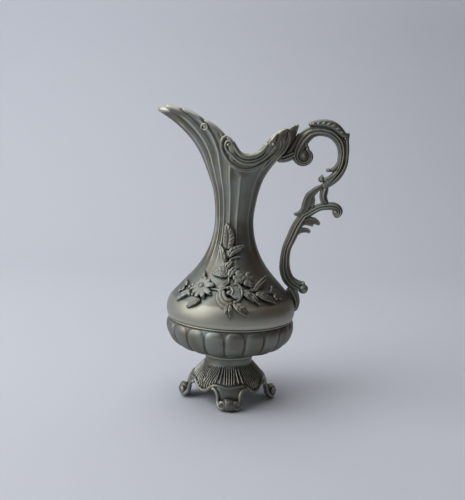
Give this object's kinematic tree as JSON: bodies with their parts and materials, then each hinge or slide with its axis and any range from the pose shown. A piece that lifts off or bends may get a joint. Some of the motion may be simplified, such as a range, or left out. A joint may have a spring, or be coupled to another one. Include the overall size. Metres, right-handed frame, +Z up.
{
  "type": "pewter jug",
  "caption": "Ornamental cast ewer on scrolled feet, with a long spout, an openwork scrolled handle and a hinged upper half that lifts off a gadrooned bowl.",
  "frame": {"origin": "on the floor under the body's upright axis, in the middle of the feet", "axes": "+Z up along the body's axis, -X towards the spout, +X towards the handle, -Y towards the face shown in the picture, +Y towards the hinge"},
  "size_m": [0.1023, 0.0744, 0.1601],
  "materials": {
    "pewter": "satin, dark patina in the hollows",
    "steel": "plain",
    "brass": "darkened"
  },
  "bodies": {
    "base": {"lower_bowl": "pewter", "foot": "pewter", "foot_screw": "steel", "foot_washer": "steel", "foot_nut": "steel", "hinge_leaf_lower": "pewter", "hinge_pin": "brass"},
    "lid": {"upper_body": "pewter", "handle": "pewter", "floral_spray_front": "pewter", "floral_spray_back": "pewter", "hinge_leaf_upper": "pewter"}
  },
  "joints": [
    {"name": "lid_hinge", "type": "hinge", "parent": "base", "child": "lid", "pos_m": [0, 0.03694, 0.04705], "axis": [-1, 0, 0], "range_deg": [0, 75]}
  ]
}
